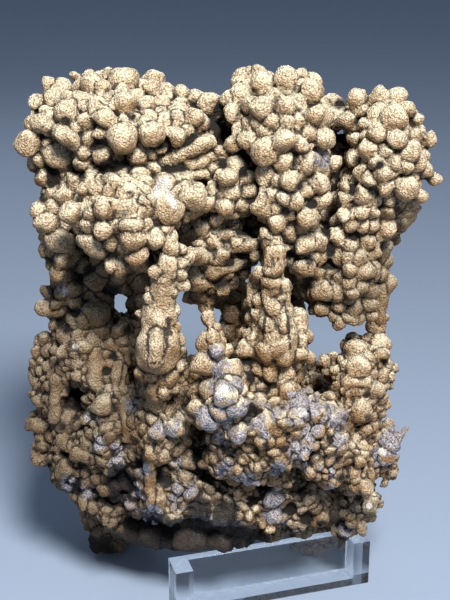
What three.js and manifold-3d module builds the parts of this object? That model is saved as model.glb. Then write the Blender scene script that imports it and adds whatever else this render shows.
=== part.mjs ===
// Romanechite specimen on a clear acrylic stand. Millimetres, +Z up.
//
// The mineral is one botryoidal mass: a knobbly base, a few columns and a crown of grape-like
// clusters, with open windows between the columns. Its front edge rests on a small stand of four
// cemented acrylic strips, and two feet at the back reach the surface itself.

import * as THREE from "three";
import { mergeVertices } from "three/addons/utils/BufferGeometryUtils.js";
import Module from "manifold-3d";

// Stand
const STAND_LENGTH = 54.5;
const STAND_DEPTH = 8;
const STAND_HEIGHT = 13;
const STAND_END_WIDTH = 4.7;
const STAND_BACK_THICKNESS = 2.5;
const STAND_BASE_THICKNESS = 2.2;
const STAND_CENTRE = [12.2, -2];
const STAND_TURN_DEG = 17;
const CEMENT_GAP = 0.05;
const REST_GAP = 0.3;

// The mineral is laid out as it is seen from the front. The eye looks down at VIEW_PITCH_DEG from
// VIEW_DISTANCE at a point VIEW_HEIGHT above the surface. "Across" and "up" are millimetres from
// that point, "back" is how far behind it something lies.
const VIEW_DISTANCE = 300;
const VIEW_PITCH_DEG = 20;
const VIEW_HEIGHT = 83.6;

// How far a lump's centre is sunk in the core that it grows on, as a share of its radius.
const LUMP_SINK = 0.15;
// A ball of flat faces is swollen a little to hold what a round one does.
const FACET_SWELL = 1.05;
// Where lumps meet they leave slivers, so the joined mass is thinned to this many faces.
const FACE_BUDGET = 9400;
// What an edge's length adds to the cost of merging it away.
const LENGTH_COST = 0.002;
const GOLDEN_ANGLE = Math.PI * (3 - Math.sqrt(5));

// Each cluster has cores of solid mineral, [across, up, back, half width, half height, half depth],
// and lumps that sit on the front of those cores where they are seen, [across, up, radius].
const CLUSTERS = {
  leftCrown: {
    cores: [
      [-26, 43, 0, 20, 10, 14], [-44, 39, 3, 6, 10, 8], [-9, 40, -1, 8, 9, 11],
      [-24, 30, -4, 18, 8, 12], [-36, 29, 0, 9, 9, 11],
    ],
    lumps: [
      [-26, 55, 3.4], [-25.5, 50, 4.2], [-18.5, 52.4, 3.4], [-12, 51, 3.4], [-12.4, 46.6, 3.2],
      [-18.8, 42, 4.4], [-5, 50, 3.6], [-7.6, 45.6, 3.4], [-11.5, 40.5, 3.6], [-26, 41, 5],
      [-31.6, 46, 4], [-32.4, 52.6, 4], [-39, 48.3, 4.4], [-44, 51, 3.8], [-44.6, 45, 3.8],
      [-39.4, 41, 3.6], [-48, 38.3, 4], [-41.5, 36.3, 4.2], [-35.4, 36, 3.6], [-30, 36, 3.2],
      [-23, 35.6, 3.2], [-17, 35, 3], [-11, 33.6, 3], [-5.6, 38, 3.2], [-45, 31.5, 3.6],
    ],
  },
  canopy: {
    cores: [
      [-25.5, 21, -17, 13, 10.5, 11], [-10, 25, -13, 6, 6, 7], [-42, 19, -2, 5, 13, 8],
    ],
    lumps: [
      [-39, 26.3, 3.4], [-38.4, 21, 3.4], [-33.8, 28.6, 3.4], [-27.5, 29.6, 3.2],
      [-21.5, 29.4, 3.2], [-25, 25.4, 3], [-31, 23, 3.6], [-19.4, 24.6, 3], [-15, 28.4, 3.4],
      [-14.4, 22.4, 4], [-8.4, 26, 3.6], [-4, 24.2, 3.2], [-30.4, 17.4, 3.2], [-23, 18.6, 4],
      [-17.6, 16, 3.6], [-23, 12.4, 3.4], [-33.4, 13, 3.2], [-27.4, 9.4, 3.2], [-20.6, 9.6, 2.8],
      [-45.4, 24, 3.4], [-45, 17, 3.6], [-40, 13.6, 3.6], [-41.6, 8, 3.6],
    ],
  },
  centreLedges: {
    cores: [[-2, 13, -1, 7.5, 13, 9], [1, 29, -3, 8, 10, 10]],
    lumps: [
      [-4.5, 19.4, 3.4], [-6.6, 14, 3.2], [-7, 5.4, 3.6], [-2, 10, 3.4], [-6.4, 0.4, 3.2],
      [-1, 3, 3.4], [1, 31, 3.6], [0.8, 22, 3.4], [3.4, 15, 3.4], [-0.8, 37.4, 3.2],
      [-1, 47.6, 3.2], [5, 8, 3.2],
    ],
  },
  middleCrown: {
    cores: [
      [14, 44, -2, 13, 10.5, 12], [16, 28, -5, 10, 13, 11], [19, 14, -2, 6.5, 11, 8],
    ],
    lumps: [
      [3, 53, 3.4], [9.3, 54.6, 3.6], [15.4, 54.6, 3.6], [22, 51.8, 3.8], [16, 49, 3.2],
      [2, 47.4, 3.4], [9, 48.6, 3.8], [13.4, 44, 3.2], [22.5, 45.4, 3.6], [4, 40.4, 3.8],
      [10.4, 38.4, 4.4], [16.4, 39.8, 4], [14.4, 34, 3.2], [24.4, 39.4, 3.6], [26, 34.2, 3.8],
      [20.4, 33.4, 3.2], [16.5, 29.6, 3.2], [24.4, 28, 3.8], [10, 29, 3.2], [16.4, 24.4, 3.2],
      [9, 22.6, 3.4], [13.4, 19.2, 3.2], [22, 21.6, 3.6], [20.4, 15, 3.6], [20, 8.6, 3.2],
      [14.4, 13.6, 3], [26, 14.6, 3.2], [9, 13.4, 3],
    ],
  },
  rightCrown: {
    cores: [
      [40, 36, 3, 10, 14.5, 12], [31, 7, 0, 6.5, 12, 8], [33, 22, 2, 7, 10, 9],
      [23.5, 5, 1, 5, 11, 7],
    ],
    lumps: [
      [33.6, 49, 3.6], [29.6, 44.6, 3.4], [40.5, 50.6, 3.6], [46, 47, 3.4], [41, 45, 4],
      [36.4, 40.6, 3.6], [43.4, 39.6, 3.6], [50.4, 40, 3.2], [47.4, 35.6, 3.4], [37.4, 35, 3.4],
      [43, 33.4, 3.2], [50, 31.6, 3.4], [36, 29.4, 3.4], [41.4, 29, 3.2], [46, 27.4, 4],
      [35.6, 23.6, 3.2], [46, 22, 3.2], [30.2, 27, 3.4], [40.6, 22, 3.2], [40, 17, 3],
      [30.4, 20.4, 3.2], [29.4, 14.4, 3.4], [36.4, 12.6, 3.6], [31, 8.4, 3.2], [24.6, 3, 3.2],
      [36.8, 6.6, 3.2], [31, 2.6, 3.2], [36.4, 0.6, 3.2], [25.4, -2.6, 3.2], [31, -4, 3.2],
      [36, -4.4, 3],
    ],
  },
  frontColumn: {
    cores: [[-14.4, 6, -22, 3, 14, 3], [-15.8, -8, -22, 5.2, 14, 5.6], [-16, -16, -20, 6.4, 11, 7]],
    lumps: [[-14, 14, 3], [-14.6, 7.6, 3.4], [-16.6, -11.6, 3.4], [-19.6, -19, 3.2]],
  },
  broadColumn: {
    cores: [[12.4, 10, -11, 3.4, 14, 4], [11.4, -1, -11, 5.6, 11, 6], [12, -13, -11, 9.4, 12, 9]],
    lumps: [
      [12.4, 9.6, 3.2], [11, 0.4, 3.4], [18.8, -5.5, 3.2], [10.8, -7, 3.4], [4.4, -12.4, 3.2],
      [11.4, -13.6, 3.6], [19, -13.4, 3.6],
    ],
  },
  rearLeftColumn: {
    cores: [
      [-33, 4, 7, 4.8, 20, 5], [-35, -10, 5, 7, 12, 7], [-27.5, 11, 7, 6, 8, 6],
      [-21, 2, 11, 4, 24, 5], [-27, -12, 5, 8, 8, 8], [-40, 5, 6, 4.4, 13, 5],
    ],
    lumps: [
      [-32.4, 7, 3.4], [-34, -3, 3.6], [-42.4, 0, 3.4], [-42.4, -5, 3.2], [-27, 6, 3.2],
      [-22, 6, 3], [-21.4, -1, 3], [-25.6, -7, 3.2], [-39, 3, 3.2],
    ],
  },
  rightColumn: {
    cores: [[38.6, 0, 6, 3.4, 20, 3.8]],
    lumps: [],
  },
  baseLeft: {
    cores: [
      [-41.4, -22, 8, 5, 17, 9], [-37, -38, 5, 8.6, 12, 10], [-28.5, -32, -1, 8, 18, 11],
      [-27, -48, 3, 9, 9, 10], [-35, -14, 4, 8, 8, 9],
    ],
    lumps: [
      [-46, -11, 3.4], [-40, -12.6, 3.4], [-46.6, -17.4, 3.4], [-46.4, -24, 3.4],
      [-46.4, -30.4, 3.4], [-45.4, -37.4, 3.6], [-34.8, -12.4, 3.2], [-35.4, -19.4, 3.6],
      [-41.4, -21, 3.6], [-41.6, -28, 3.6], [-30.4, -25.4, 3.8], [-26.8, -18.4, 3.2],
      [-23.6, -24, 3.4], [-36.8, -31.4, 3.8], [-40.4, -35, 3.6], [-35, -37.8, 3.6],
      [-41, -42, 3.8], [-35, -44.4, 3.8], [-35, -50, 3.6], [-29.4, -53.4, 3.8], [-23.4, -57, 3.4],
      [-29.4, -33.6, 3.8], [-28.8, -40.6, 3.8], [-28.4, -47, 3.6], [-23.4, -31, 4],
      [-23.2, -37.8, 3.6],
    ],
  },
  baseMiddle: {
    cores: [
      [-16, -30, -9, 9, 12, 12], [-13, -44, -5, 12, 12, 12], [4, -48, -6, 14, 9, 11],
      [-4, -54, -2, 13, 6, 8], [18, -49, -4, 9, 8, 9],
    ],
    lumps: [
      [-17, -25.6, 3.6], [-15, -31.4, 4], [-20, -44, 3.4], [-10.5, -39.4, 3.8], [-17, -38.4, 3.4],
      [-10.4, -46, 3.6], [-17.4, -49, 3.6], [-13.4, -53.6, 3.6], [-22.4, -51.4, 3.4],
      [-7, -52.6, 3.4], [-1, -54.4, 3.4], [-15.4, -57.6, 3.2], [-8.4, -58.6, 3.2],
      [-2, -59.4, 3.2], [4, -59, 3.2], [4.6, -53.6, 3.4], [-3.6, -48.4, 3.6], [4, -47.4, 3.6],
      [11, -55.4, 3.2], [12.6, -49.4, 3.8], [19.6, -50.6, 3.6], [17.4, -56, 3.2],
      [24, -54.4, 3.2],
    ],
  },
  baseFront: {
    cores: [
      [0, -24, -16, 8, 10, 13], [12, -31, -16, 14, 11, 13], [-3, -13, -20, 4.4, 8, 5],
      [6, -38, -13, 14, 8, 12], [24, -34, -12, 8, 11, 12],
    ],
    lumps: [
      [-3.6, -6.6, 3], [-2.4, -11.4, 3.4], [-6, -16.6, 3.4], [-0.4, -16.8, 4], [-6.6, -22, 3.4],
      [0.6, -24.4, 5.4], [-5.6, -28.6, 4.4], [2.6, -32.4, 4], [-2.4, -36.4, 3.6],
      [9.3, -27, 3.8], [9.6, -34, 4], [15.8, -24, 3.8], [16.4, -30.4, 4.2], [21.4, -25, 3.6],
      [24.6, -30, 4.4], [20.4, -36.6, 3.6], [27.4, -36.8, 3.6], [14.8, -39.6, 3.6],
      [8, -41, 3.4], [21.8, -43, 3.6], [2, -41.4, 3.4], [15, -45.6, 3.2], [27, -44.6, 3.6],
    ],
  },
  baseRight: {
    cores: [
      [33, -24, -3, 7.4, 12, 10], [32, -38, -6, 7, 12, 10], [33, -50, 1, 5.6, 9, 7],
      [36, -14, 3, 6, 6, 7],
    ],
    lumps: [
      [25.4, -16, 3.6], [30, -21.4, 3.6], [31, -12.4, 3.6], [34.4, -16, 3.8], [39, -13.6, 3.4],
      [40.4, -19.4, 3.4], [36.4, -21.6, 3.6], [32.4, -27, 3.6], [38.6, -26, 3.4],
      [35.4, -31.4, 3.6], [33, -37.4, 3.6], [33.4, -45.8, 3.8], [36.6, -50.4, 3.4],
      [31, -51.6, 3.4], [33.6, -55.6, 3.6], [29, -57.4, 3.2],
    ],
  },
};

// Broken metallic end on the right: a few sharp chunks, [across, up, back, radius], and a point.
const BROKEN_END = [
  [39.6, -35, -6, 4.4], [40.6, -39.6, -6, 4.4], [41.4, -43.4, -6, 3.4], [43.4, -34.4, -7, 3],
];
const BROKEN_POINT = { from: [42, -36, -7], tip: [46, -32, -8], radius: 3 };

// Cores further back, in plain millimetres: centre, half sizes, how many lumps are spread over
// them, their radius, and how far towards the front they go (1 is straight back, -1 all round).
const REAR_CORES = [
  { centre: [-26, 9, 122], half: [20, 14, 13], studs: 30, studRadius: 5.4, studsFrom: 0.1 },
  { centre: [12, 9, 123], half: [15, 14, 13], studs: 26, studRadius: 5.4, studsFrom: 0.1 },
  { centre: [37, 11, 112], half: [9, 12, 17], studs: 26, studRadius: 5, studsFrom: 0.1 },
  { centre: [3, 14, 103], half: [36, 14, 11], studs: 44, studRadius: 5.4, studsFrom: 0.1 },
  { centre: [28, 10, 89], half: [9, 8, 9], studs: 14, studRadius: 4.8, studsFrom: 0.1 },
  { centre: [-32, 14, 44], half: [14, 14, 22], studs: 34, studRadius: 5.4, studsFrom: 0.1 },
  { centre: [28, 10, 44], half: [12, 14, 11.6], studs: 26, studRadius: 4.4, studsFrom: 0.1 },
  { centre: [0, 15, 38], half: [30, 13, 19], studs: 52, studRadius: 5.6, studsFrom: 0.1 },
  { centre: [-2, 6, 28], half: [28, 14, 12], studs: 0, studRadius: 0, studsFrom: 0 },
  { centre: [20, 16, 26], half: [16, 12, 14], studs: 18, studRadius: 5, studsFrom: 0.1 },
  { centre: [-20, 16, 80], half: [4.5, 5, 22], studs: 18, studRadius: 3, studsFrom: 0.3 },
  { centre: [2.8, 13, 76], half: [4.4, 4.4, 23], studs: 16, studRadius: 2.6, studsFrom: 0.2 },
  { centre: [15, 18, 80], half: [5.4, 6, 22], studs: 20, studRadius: 3.4, studsFrom: 0.3 },
  { centre: [-33, 22, 12], half: [7, 8, 14], studs: 26, studRadius: 3.4, studsFrom: -1 },
  { centre: [25, 22, 12], half: [7, 8, 14], studs: 26, studRadius: 3.4, studsFrom: -1 },
];

// Knobs that come down on the stand, in plain millimetres: centre, then radius.
const STAND_KNOBS = [
  [0.6, -3, 16.4, 4], [5.4, -1.4, 16.2, 3.8], [13, 1, 16.4, 4], [21, 3.4, 16.2, 4],
  [35.4, 5, 16, 3.8],
];

const wasm = await Module();
wasm.setup();
const { Manifold, Mesh: SolidMesh } = wasm;

// A closed geometry, placed by a matrix, as a solid.
function solidOf(geometry, matrix) {
  const placed = geometry.clone().applyMatrix4(matrix);
  placed.deleteAttribute("normal");
  placed.deleteAttribute("uv");
  const merged = mergeVertices(placed, 1e-4);
  return new Manifold(new SolidMesh({
    numProp: 3,
    vertProperties: new Float32Array(merged.attributes.position.array),
    triVerts: new Uint32Array(merged.index.array),
  }));
}

// The largest piece of a solid: crumbs left by a cut go, and bubbles inside are filled.
function largest(solid) {
  const pieces = solid.decompose();
  return pieces.reduce((most, piece) => (piece.volume() > most.volume() ? piece : most));
}

// How far a point is from the planes of the faces round a vertex, as a sum of squares: each plane
// adds its ten products to the vertex's `planes`.
function addPlane(planes, normal, offset, weight) {
  const terms = [normal.x, normal.y, normal.z, offset];
  let slot = 0;
  for (let i = 0; i < 4; i += 1) {
    for (let j = i; j < 4; j += 1) {
      planes[slot] += weight * terms[i] * terms[j];
      slot += 1;
    }
  }
}

function planeError(planes, { x, y, z }) {
  return planes[0] * x * x + 2 * planes[1] * x * y + 2 * planes[2] * x * z + 2 * planes[3] * x
    + planes[4] * y * y + 2 * planes[5] * y * z + 2 * planes[6] * y
    + planes[7] * z * z + 2 * planes[8] * z + planes[9];
}

// The point with the least error, or null where the planes don't settle one.
function bestPoint(planes) {
  const matrix = new THREE.Matrix3().set(
    planes[0], planes[1], planes[2], planes[1], planes[4], planes[5],
    planes[2], planes[5], planes[7],
  );
  const size = (planes[0] + planes[4] + planes[7]) / 3;
  if (Math.abs(matrix.determinant()) < 1e-3 * size ** 3) return null;
  return new THREE.Vector3(-planes[3], -planes[6], -planes[8]).applyMatrix3(matrix.invert());
}

// Thins a closed solid by merging edges away, the one that moves the surface least first. An edge
// stays where its loss would pinch the surface or turn a face over.
function thinned(solid, faceBudget) {
  const mesh = solid.getMesh();
  const points = [];
  for (let i = 0; i < mesh.vertProperties.length; i += 3) {
    points.push(new THREE.Vector3(...mesh.vertProperties.slice(i, i + 3)));
  }
  const faces = [];
  const facesAt = points.map(() => new Set());
  const planesAt = points.map(() => new Array(10).fill(0));
  const triangle = new THREE.Triangle();
  for (let i = 0; i < mesh.triVerts.length; i += 3) {
    const face = [...mesh.triVerts.slice(i, i + 3)];
    triangle.set(...face.map((corner) => points[corner]));
    const normal = triangle.getNormal(new THREE.Vector3());
    for (const corner of face) {
      facesAt[corner].add(faces.length);
      addPlane(planesAt[corner], normal, -normal.dot(triangle.a), triangle.getArea());
    }
    faces.push(face);
  }
  const around = (corner) => {
    const near = new Set([...facesAt[corner]].flatMap((index) => faces[index]));
    near.delete(corner);
    return near;
  };

  const age = points.map(() => 0);
  const queue = [];
  const swap = (i, j) => {
    [queue[i], queue[j]] = [queue[j], queue[i]];
  };
  const push = (entry) => {
    queue.push(entry);
    let i = queue.length - 1;
    while (i > 0 && queue[i].cost < queue[(i - 1) >> 1].cost) {
      swap(i, (i - 1) >> 1);
      i = (i - 1) >> 1;
    }
  };
  const pop = () => {
    const first = queue[0];
    const last = queue.pop();
    if (queue.length > 0) queue[0] = last;
    let i = 0;
    for (;;) {
      let least = i;
      if (2 * i + 1 < queue.length && queue[2 * i + 1].cost < queue[least].cost) least = 2 * i + 1;
      if (2 * i + 2 < queue.length && queue[2 * i + 2].cost < queue[least].cost) least = 2 * i + 2;
      if (least === i) return first;
      swap(i, least);
      i = least;
    }
  };
  const offer = (a, b) => {
    const planes = planesAt[a].map((value, i) => value + planesAt[b][i]);
    const choices = [points[a], points[b], points[a].clone().lerp(points[b], 0.5)];
    const best = bestPoint(planes);
    const length = points[a].distanceTo(points[b]);
    if (best && best.distanceTo(choices[2]) < length) choices.push(best);
    const errors = choices.map((choice) => planeError(planes, choice));
    const least = errors.indexOf(Math.min(...errors));
    const cost = errors[least] + LENGTH_COST * length * length;
    push({ cost, a, b, ages: age[a] + age[b], to: choices[least].clone() });
  };
  const turnsOver = (a, b, to) => [...facesAt[a]].some((index) => {
    const face = faces[index];
    if (face.includes(b)) return false;
    triangle.set(...face.map((corner) => points[corner]));
    const before = triangle.getNormal(new THREE.Vector3());
    triangle.set(...face.map((corner) => (corner === a ? to : points[corner])));
    const after = triangle.getNormal(new THREE.Vector3());
    return before.dot(after) < 0.3 || triangle.getArea() < 0.02;
  });

  for (const face of faces) {
    face.forEach((corner, i) => {
      const next = face[(i + 1) % 3];
      if (corner < next) offer(corner, next);
    });
  }
  let left = faces.length;
  while (left > faceBudget && queue.length > 0) {
    const { a, b, ages, to } = pop();
    if (!facesAt[a].size || !facesAt[b].size || age[a] + age[b] !== ages) continue;
    const nearB = around(b);
    const shared = [...around(a)].filter((corner) => nearB.has(corner));
    if (shared.length !== 2 || turnsOver(a, b, to) || turnsOver(b, a, to)) continue;
    for (const index of facesAt[b]) {
      if (faces[index].includes(a)) {
        faces[index].forEach((corner) => corner !== b && facesAt[corner].delete(index));
        faces[index] = null;
        left -= 1;
      } else {
        faces[index] = faces[index].map((corner) => (corner === b ? a : corner));
        facesAt[a].add(index);
      }
    }
    facesAt[b].clear();
    points[a].copy(to);
    planesAt[b].forEach((value, i) => {
      planesAt[a][i] += value;
    });
    age[a] += 1;
    age[b] += 1;
    for (const near of around(a)) offer(a, near);
  }

  const kept = new Map();
  const vertProperties = [];
  const triVerts = [];
  for (const corner of faces.filter(Boolean).flat()) {
    if (!kept.has(corner)) {
      kept.set(corner, kept.size);
      vertProperties.push(...points[corner]);
    }
    triVerts.push(kept.get(corner));
  }
  return new Manifold(new SolidMesh({
    numProp: 3,
    vertProperties: new Float32Array(vertProperties),
    triVerts: new Uint32Array(triVerts),
  }));
}

// A solid as a geometry with flat faces.
function geometryOf(solid) {
  const mesh = solid.getMesh();
  const indexed = new THREE.BufferGeometry();
  indexed.setAttribute("position", new THREE.BufferAttribute(mesh.vertProperties, 3));
  indexed.setIndex(new THREE.BufferAttribute(mesh.triVerts, 1));
  const geometry = indexed.toNonIndexed();
  geometry.computeVertexNormals();
  return geometry;
}

const PITCH = THREE.MathUtils.degToRad(VIEW_PITCH_DEG);
const EYE = new THREE.Vector3(
  0, -VIEW_DISTANCE * Math.cos(PITCH), VIEW_HEIGHT + VIEW_DISTANCE * Math.sin(PITCH),
);

// The way from the eye to (across, up) on the plane that faces it.
function sightLine(across, up) {
  return new THREE.Vector3(
    across,
    VIEW_DISTANCE * Math.cos(PITCH) + up * Math.sin(PITCH),
    up * Math.cos(PITCH) - VIEW_DISTANCE * Math.sin(PITCH),
  );
}

// The point seen at (across, up) that lies `back` from the middle, and the scale there.
function seenAt(across, up, back) {
  const ray = sightLine(across, up);
  const scale = (back - EYE.y) / ray.y;
  return { point: EYE.clone().addScaledVector(ray, scale), scale };
}

// Where the sight line to (across, up) first meets the cores, or passes closest to one.
function seenOnCores(cores, across, up) {
  const ray = sightLine(across, up);
  let best = null;
  for (const { centre, half } of cores) {
    const from = EYE.clone().sub(centre).divide(half);
    const along = ray.clone().divide(half);
    const nearest = -from.dot(along) / along.lengthSq();
    const missed = from.clone().addScaledVector(along, nearest).length();
    const into = missed < 1 ? Math.sqrt((1 - missed * missed) / along.lengthSq()) : 0;
    const hit = { missed: Math.max(missed, 1), scale: nearest - into };
    const nearer = best && hit.missed === best.missed && hit.scale < best.scale;
    if (!best || hit.missed < best.missed || nearer) best = hit;
  }
  return { point: EYE.clone().addScaledVector(ray, best.scale), scale: best.scale, ray };
}

const BALL = new THREE.IcosahedronGeometry(1, 1);
const CHUNK = new THREE.IcosahedronGeometry(1, 0);

let turned = 0;
// A ball or chunk, each one turned a little further so that no two show the same facets.
function ball(shape, centre, half) {
  turned += 1;
  const turn = new THREE.Quaternion().setFromEuler(
    new THREE.Euler(turned * GOLDEN_ANGLE, turned * 0.7, turned * 0.3),
  );
  const spin = new THREE.Matrix4().makeRotationFromQuaternion(turn);
  const stretch = new THREE.Matrix4().makeScale(half.x, half.y, half.z);
  const place = new THREE.Matrix4().makeTranslation(centre.x, centre.y, centre.z);
  return solidOf(shape, place.multiply(stretch).multiply(spin));
}

function lump(centre, radius) {
  const size = radius * FACET_SWELL;
  return ball(BALL, centre, new THREE.Vector3(size, size, size));
}

function coreBall({ centre, half }) {
  return ball(BALL, centre, half);
}

function clusterSolids({ cores: rows, lumps }) {
  const cores = rows.map(([across, up, back, halfWidth, halfHeight, halfDepth]) => {
    const { point, scale } = seenAt(across, up, back);
    const half = new THREE.Vector3(halfWidth, halfDepth, halfHeight).multiplyScalar(scale);
    return { centre: point, half };
  });
  const seated = lumps.map(([across, up, radius]) => {
    const { point, scale, ray } = seenOnCores(cores, across, up);
    const sink = (LUMP_SINK * radius * scale) / ray.length();
    return lump(point.addScaledVector(ray, sink), radius * scale);
  });
  return [...cores.map(coreBall), ...seated];
}

function seenChunks(rows) {
  return rows.map(([across, up, back, radius]) => {
    const { point, scale } = seenAt(across, up, back);
    const size = radius * scale;
    return ball(CHUNK, point, new THREE.Vector3(size, size * 0.8, size * 1.1));
  });
}

// A four-sided point that juts from the broken end.
function brokenPoint({ from, tip, radius }) {
  const root = seenAt(...from).point;
  const end = seenAt(...tip).point;
  const along = end.clone().sub(root);
  const cone = new THREE.ConeGeometry(radius, along.length(), 4, 1);
  const turn = new THREE.Quaternion().setFromUnitVectors(
    new THREE.Vector3(0, 1, 0), along.clone().normalize(),
  );
  const place = new THREE.Matrix4().compose(
    root.clone().add(end).multiplyScalar(0.5), turn, new THREE.Vector3(1, 1, 1),
  );
  return solidOf(cone, place);
}

// Lumps spread evenly over the back of a rear core.
function studs({ centre, half, studs: count, studRadius, studsFrom }) {
  const made = [];
  for (let i = 0; i < count; i += 1) {
    const height = 1 - (2 * (i + 0.5)) / count;
    const ring = Math.sqrt(1 - height * height);
    const angle = i * GOLDEN_ANGLE;
    const out = new THREE.Vector3(ring * Math.cos(angle), ring * Math.sin(angle), height);
    if (out.y < studsFrom) continue;
    const spot = centre.clone().add(out.clone().multiply(half));
    made.push(lump(spot, studRadius * (0.85 + 0.3 * Math.abs(Math.sin(i * 2.4)))));
  }
  return made;
}

// A box between two corners, as a geometry.
function boxBetween(low, high) {
  const size = high.map((value, i) => value - low[i]);
  const middle = high.map((value, i) => (value + low[i]) / 2);
  return new THREE.BoxGeometry(...size).translate(...middle);
}

// The four strips of the stand in its own frame: x along it, y from front to back.
function standStrips() {
  const endX = STAND_LENGTH / 2;
  const innerX = endX - STAND_END_WIDTH;
  const front = -STAND_DEPTH / 2;
  const back = STAND_DEPTH / 2;
  const backFace = back - STAND_BACK_THICKNESS;
  const gap = CEMENT_GAP;
  return {
    stand_end_left: boxBetween([-endX, front, 0], [-innerX, back, STAND_HEIGHT]),
    stand_end_right: boxBetween([innerX, front, 0], [endX, back, STAND_HEIGHT]),
    stand_back: boxBetween([-innerX + gap, backFace, 0], [innerX - gap, back, STAND_HEIGHT]),
    stand_base: boxBetween([-innerX + gap, front, 0], [innerX - gap, backFace - gap,
      STAND_BASE_THICKNESS]),
  };
}

function standPlace() {
  const turn = new THREE.Matrix4().makeRotationZ(THREE.MathUtils.degToRad(STAND_TURN_DEG));
  const place = new THREE.Matrix4().makeTranslation(STAND_CENTRE[0], STAND_CENTRE[1], 0);
  return place.multiply(turn);
}

// What the mineral is cut back from, so that it sits on the stand and on the surface: the strips
// with a resting gap round them, and everything under the surface.
function clearances() {
  const reach = 200;
  const grown = Object.values(standStrips()).map((strip) => {
    strip.computeBoundingBox();
    const { min, max } = strip.boundingBox.expandByScalar(REST_GAP);
    return solidOf(boxBetween(min.toArray(), max.toArray()), standPlace());
  });
  const under = boxBetween([-reach, -reach, -reach], [reach, reach, 0]);
  return [...grown, solidOf(under, new THREE.Matrix4())];
}

function romanechite() {
  const rear = REAR_CORES.map((core) => ({
    ...core,
    centre: new THREE.Vector3(...core.centre),
    half: new THREE.Vector3(...core.half),
  }));
  const grown = [
    ...Object.values(CLUSTERS).flatMap(clusterSolids),
    ...rear.map(coreBall),
    ...rear.flatMap(studs),
    ...STAND_KNOBS.map(([x, y, z, radius]) => lump(new THREE.Vector3(x, y, z), radius)),
    ...seenChunks(BROKEN_END),
    brokenPoint(BROKEN_POINT),
  ];
  const whole = largest(Manifold.union(grown));
  return largest(thinned(whole, FACE_BUDGET).subtract(Manifold.union(clearances())));
}

const MINERAL = new THREE.MeshStandardMaterial({ color: 0xb59a6e, roughness: 0.95, metalness: 0 });
const ACRYLIC = new THREE.MeshPhysicalMaterial({
  color: 0xe8f0f4, roughness: 0.05, metalness: 0, transmission: 1, ior: 1.49,
});

function namedMesh(name, geometry, material) {
  const mesh = new THREE.Mesh(geometry, material);
  mesh.name = name;
  return mesh;
}

const stand = new THREE.Group();
stand.applyMatrix4(standPlace());
for (const [name, strip] of Object.entries(standStrips())) {
  stand.add(namedMesh(name, strip, ACRYLIC));
}

const assembly = new THREE.Group();
assembly.add(namedMesh("romanechite", geometryOf(romanechite()), MINERAL), stand);

// The origin is on the surface, under the middle of the whole object.
const group = new THREE.Group();
group.add(assembly);
const middle = new THREE.Box3().setFromObject(assembly, true).getCenter(new THREE.Vector3());
assembly.position.set(-middle.x, -middle.y, 0);

export default group;
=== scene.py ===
"""Romanechite on a clear acrylic stand, dressed over its solids.

The mineral's solid is rounded off and studded with nodules, first those that can be told apart
from the front, then finer ones scattered all over. Colours follow the growth: a dusty tan coat,
grey metallic mineral where the coat is worn away, and a little white crust. Light and shade are
painted in as well: the coat is paler where it faces up and ochre where it faces down, the creases,
seams, hollows, gaps and shadowed parts are near-black or dark, and the crust also stands for
glints.
"""

import math

import bpy
import numpy as np
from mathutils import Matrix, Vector, noise
from mathutils.bvhtree import BVHTree
from mathutils.kdtree import KDTree


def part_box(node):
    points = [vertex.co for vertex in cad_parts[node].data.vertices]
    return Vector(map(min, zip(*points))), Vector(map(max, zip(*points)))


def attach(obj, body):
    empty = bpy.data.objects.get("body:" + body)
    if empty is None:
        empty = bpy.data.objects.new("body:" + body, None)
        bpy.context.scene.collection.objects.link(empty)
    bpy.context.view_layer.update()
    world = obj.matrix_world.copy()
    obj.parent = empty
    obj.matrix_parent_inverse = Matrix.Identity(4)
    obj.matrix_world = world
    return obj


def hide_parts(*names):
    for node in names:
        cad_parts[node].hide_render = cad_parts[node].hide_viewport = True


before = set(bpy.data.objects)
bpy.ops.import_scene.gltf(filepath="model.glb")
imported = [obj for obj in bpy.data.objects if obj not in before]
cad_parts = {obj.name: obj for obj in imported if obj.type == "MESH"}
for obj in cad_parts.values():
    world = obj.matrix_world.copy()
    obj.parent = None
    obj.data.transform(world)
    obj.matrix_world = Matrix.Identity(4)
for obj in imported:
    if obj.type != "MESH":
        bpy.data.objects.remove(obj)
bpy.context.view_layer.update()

MM = 0.001
SEED = 7

# The view from the front: its centre line passes VIEW_FROM_STAND from the stand's middle.
VIEW_DISTANCE = 300 * MM
VIEW_PITCH = math.radians(20)
VIEW_HEIGHT = 83.6 * MM
VIEW_FROM_STAND = Vector((-12.2, 2.0, 0.0)) * MM
VIEW_SIZE = (450, 600)
FOCAL = 1200
SENSOR_MM = 36.0

# The mineral's surface.
SHRINK = 1.0 * MM
CORE_VOXEL = 0.9 * MM
CORE_SMOOTHING = 3
FINAL_VOXEL = 0.54 * MM
FINAL_SMOOTHING = 1
FRONT_BUDGET = 360000
FACE_BUDGET = 195000

# How deep the middle of a listed nodule sits under the core's surface, in its radii, how far it
# may stand out at most, and its size next to the listed one.
SINK = 0.05
SINKS = {"front_column": 0.78, "broad_column": 0.72, "left_column": 0.5}
RIDGE_SINK = 0.1
STAND_OUT = 2.9 * MM
NODULE_SIZE = 0.94
RIDGE_STEP = 0.35
# Distances from the eye, and the step, tried for a nodule that stands out past the outline.
SEARCHED = (255 * MM, 345 * MM, 1.5 * MM)

# Nodules that fill the room between the others, largest first: radius and how deep they sit.
PACKED = (
    (2.8 * MM, 0.3), (2.3 * MM, 0.3), (1.9 * MM, 0.3), (1.5 * MM, 0.25), (1.2 * MM, 0.2),
    (0.9 * MM, 0.2), (0.75 * MM, 0.2),
)
# The room that such a nodule needs, in its radii, how much its size may differ, and the largest
# radius of a neighbour that is looked for. Its draws go by the small cell that it lies in.
ROOM = 0.88
SIZE_SPREAD = (0.9, 1.15)
MOST_RADIUS = 3.7 * MM
SPOT_CELL = 0.53 * MM
SPOT_SHIFT = 0.37
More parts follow.
